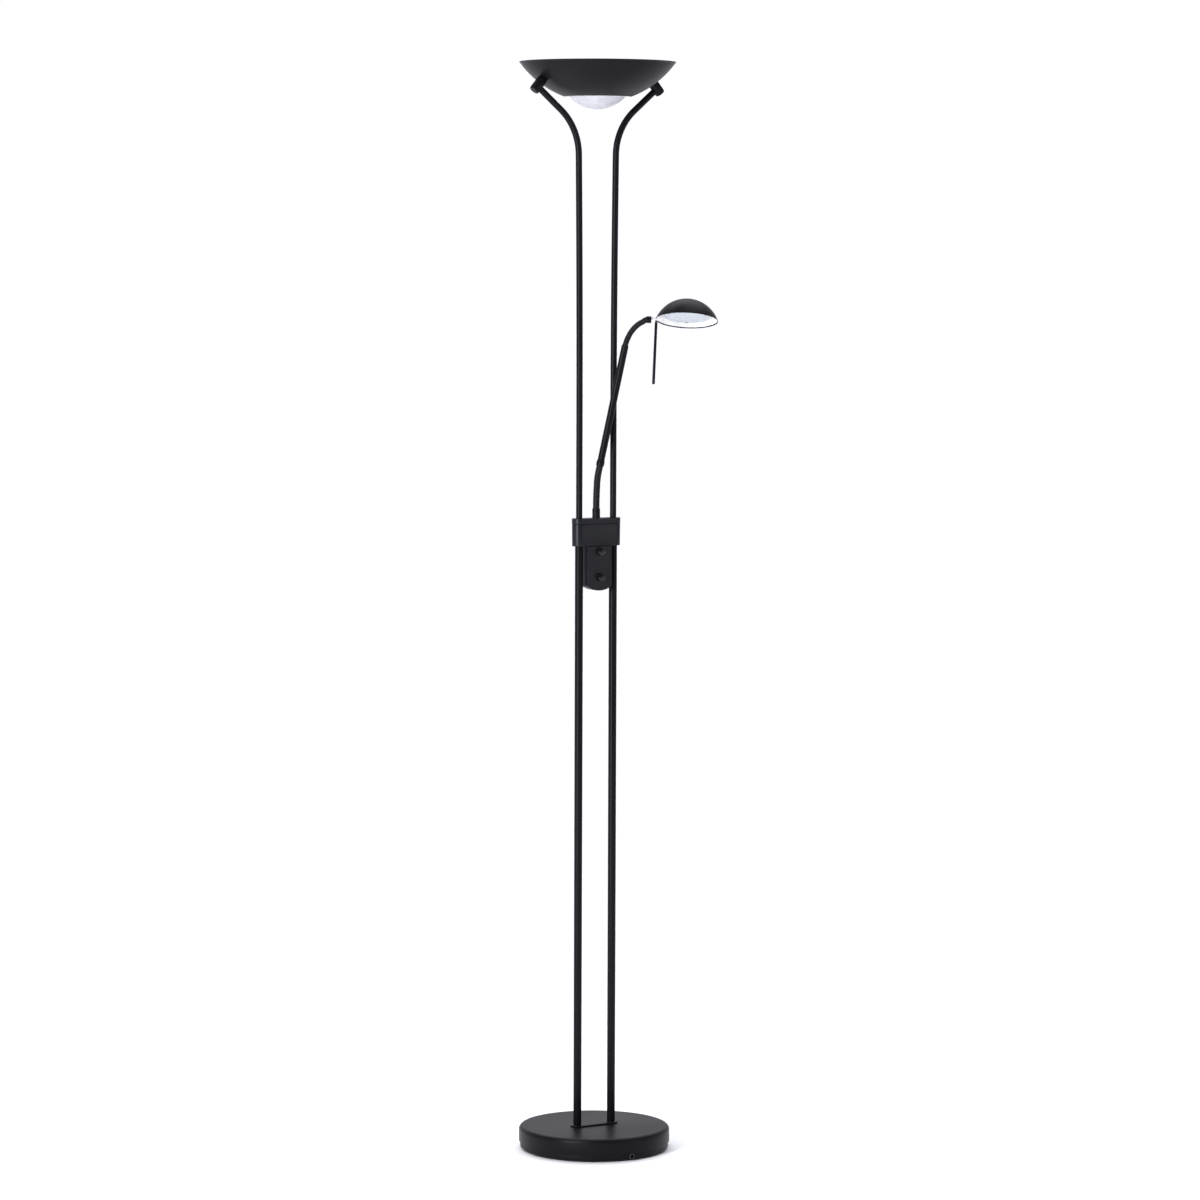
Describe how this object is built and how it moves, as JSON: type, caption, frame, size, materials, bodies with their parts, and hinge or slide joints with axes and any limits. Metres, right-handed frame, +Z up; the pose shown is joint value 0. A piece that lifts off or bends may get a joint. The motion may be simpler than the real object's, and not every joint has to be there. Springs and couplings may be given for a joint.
{
  "type": "torchiere floor lamp",
  "caption": "Twin-tube torchiere floor lamp in satin black with an upward bowl, opal glass dish, dimmer knobs and a flexible reading arm on a round base.",
  "frame": {"origin": "middle of the foot pad, on the floor", "axes": "+Z up along the column; X along the pair of column tubes; -Y is the front with the knobs and the cord inlet"},
  "size_m": [0.3074, 0.2574, 1.8],
  "materials": {
    "satin_black_paint": "satin black powder coat",
    "black_moulding": "fine satin moulded plastic",
    "knob_black": "gloss moulded plastic",
    "neck_sleeve": "ribbed black sleeve over a steel gooseneck",
    "zinc_steel": "zinc plated",
    "ballast_iron": "as cast",
    "foot_pad": "matt felt-backed rubber",
    "grommet_rubber": "matt rubber",
    "opal_glass": "satin opal glass",
    "filter_glass": "lightly frosted glass",
    "quartz": "clear quartz",
    "white_ceramic": "glazed steatite ceramic",
    "white_casting": "white painted casting",
    "circuit_board": "solder-masked laminate",
    "pot_case": "moulded case"
  },
  "bodies": {
    "stand": {"base_pad": "foot_pad", "base_tray": "satin_black_paint", "base_weight": "ballast_iron", "base_cover": "satin_black_paint", "cord_gland": "grommet_rubber", "foot_plate": "satin_black_paint", "clamp_bar": "zinc_steel", "foot_bolt_left": "zinc_steel", "foot_bolt_right": "zinc_steel", "lower_tube_left": "satin_black_paint", "lower_tube_right": "satin_black_paint", "upper_tube_left": "satin_black_paint", "upper_tube_right": "satin_black_paint", "collar_body": "black_moulding", "collar_cap": "black_moulding", "dimmer_housing": "black_moulding", "dimmer_back": "black_moulding", "back_screw_left": "zinc_steel", "back_screw_right": "zinc_steel", "dimmer_board": "circuit_board", "dimmer_pot_upper": "pot_case", "dimmer_pot_lower": "pot_case", "uplighter_bowl": "satin_black_paint", "opal_dish": "opal_glass", "boss_left": "satin_black_paint", "boss_right": "satin_black_paint", "hollow_bolt_left": "zinc_steel", "hollow_bolt_right": "zinc_steel", "lamp_bracket": "zinc_steel", "lampholder_left": "white_ceramic", "lampholder_right": "white_ceramic", "halogen_tube": "quartz"},
    "upper_knob": {"dimmer_knob_upper": "knob_black", "knob_shaft_upper": "zinc_steel"},
    "lower_knob": {"dimmer_knob_lower": "knob_black", "knob_shaft_lower": "zinc_steel"},
    "neck_root": {"arm_pivot": "zinc_steel", "arm_ferrule": "satin_black_paint", "lower_neck_1": "neck_sleeve"},
    "lower_link_2": {"lower_neck_2": "neck_sleeve"},
    "lower_link_3": {"lower_neck_3": "neck_sleeve"},
    "arm": {"lower_neck_4": "neck_sleeve", "arm_tube": "satin_black_paint", "upper_neck_1": "neck_sleeve"},
    "upper_link_2": {"upper_neck_2": "neck_sleeve"},
    "upper_link_3": {"upper_neck_3": "neck_sleeve"},
    "neck_end": {"upper_neck_4": "neck_sleeve", "head_ferrule": "satin_black_paint"},
    "reading_head": {"head_block": "white_casting", "reading_shade": "satin_black_paint", "reading_lampholder": "white_ceramic", "reading_bulb": "quartz", "filter_glass": "filter_glass", "glass_clip_back": "zinc_steel", "glass_clip_front": "zinc_steel", "glass_clip_right": "zinc_steel", "handle_rod": "satin_black_paint", "handle_grip": "black_moulding"}
  },
  "joints": [
    {"name": "upper_knob_turn", "type": "hinge", "parent": "stand", "child": "upper_knob", "pos_m": [0, -0.0133, 0.998], "axis": [0, -1, 0], "range_deg": [0, 270]},
    {"name": "lower_knob_turn", "type": "hinge", "parent": "stand", "child": "lower_knob", "pos_m": [0, -0.0133, 0.9556], "axis": [0, -1, 0], "range_deg": [0, 270]},
    {"name": "arm_swivel", "type": "hinge", "parent": "stand", "child": "neck_root", "pos_m": [0, 0, 1.0525], "axis": [0, 0, 1], "range_deg": [-125, 5]},
    {"name": "lower_neck_bend_1", "type": "hinge", "parent": "neck_root", "child": "lower_link_2", "pos_m": [0, 0, 1.075], "axis": [0.5, 0.866, 0], "range_deg": [-3, 20]},
    {"name": "lower_neck_bend_2", "type": "hinge", "parent": "lower_link_2", "child": "lower_link_3", "pos_m": [0.0005, -0.00029, 1.09699], "axis": [0.5, 0.866, 0], "range_deg": [-3, 20]},
    {"name": "lower_neck_bend_3", "type": "hinge", "parent": "lower_link_3", "child": "arm", "pos_m": [0.0015, -0.00086, 1.11896], "axis": [0.5, 0.866, 0], "range_deg": [-3, 20]},
    {"name": "upper_neck_bend_1", "type": "hinge", "parent": "arm", "child": "upper_link_2", "pos_m": [0.043, -0.02482, 1.34644], "axis": [0.5, 0.866, 0], "range_deg": [-20, 10]},
    {"name": "upper_neck_bend_2", "type": "hinge", "parent": "upper_link_2", "child": "upper_link_3", "pos_m": [0.04986, -0.02879, 1.36148], "axis": [0.5, 0.866, 0], "range_deg": [-20, 10]},
    {"name": "upper_neck_bend_3", "type": "hinge", "parent": "upper_link_3", "child": "neck_end", "pos_m": [0.0598, -0.03452, 1.37263], "axis": [0.5, 0.866, 0], "range_deg": [-20, 10]},
    {"name": "head_roll", "type": "hinge", "parent": "neck_end", "child": "reading_head", "pos_m": [0.0776, -0.0448, 1.3813], "axis": [0.866, -0.5, 0], "range_deg": [-90, 90]}
  ]
}
